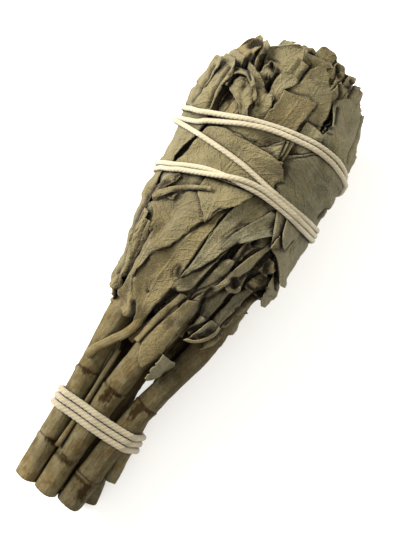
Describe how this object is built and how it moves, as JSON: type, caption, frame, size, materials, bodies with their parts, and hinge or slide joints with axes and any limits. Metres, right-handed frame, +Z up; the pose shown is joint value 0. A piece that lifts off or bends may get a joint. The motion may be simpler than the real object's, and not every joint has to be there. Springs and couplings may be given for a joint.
{
  "type": "sage smudge stick",
  "caption": "Dried white sage bundle lying on its back: cut stems tied with cotton string, opening into a thick leafy head bound with crossing turns of the same string.",
  "frame": {"origin": "on the table, below the middle of the bundle's bounding box", "axes": "+X along the bundle from the cut stems to the leafy crown, +Z up with the bundle lying on its back, +Y completes the right-handed frame"},
  "size_m": [0.1522, 0.0534, 0.048],
  "materials": {
    "dried_leaf": "matt dried leaf, grey-green to tan",
    "stem_bark": "dry brown bark",
    "cotton_string": "matt undyed cotton"
  },
  "bodies": {
    "root": {"leaf_head": "dried_leaf", "stem_left": "stem_bark", "stem_middle": "stem_bark", "stem_right": "stem_bark", "stem_back_left": "stem_bark", "stem_back_middle": "stem_bark", "stem_back_right": "stem_bark", "side_twig": "stem_bark", "head_string": "cotton_string", "stem_string": "cotton_string"}
  },
  "joints": []
}
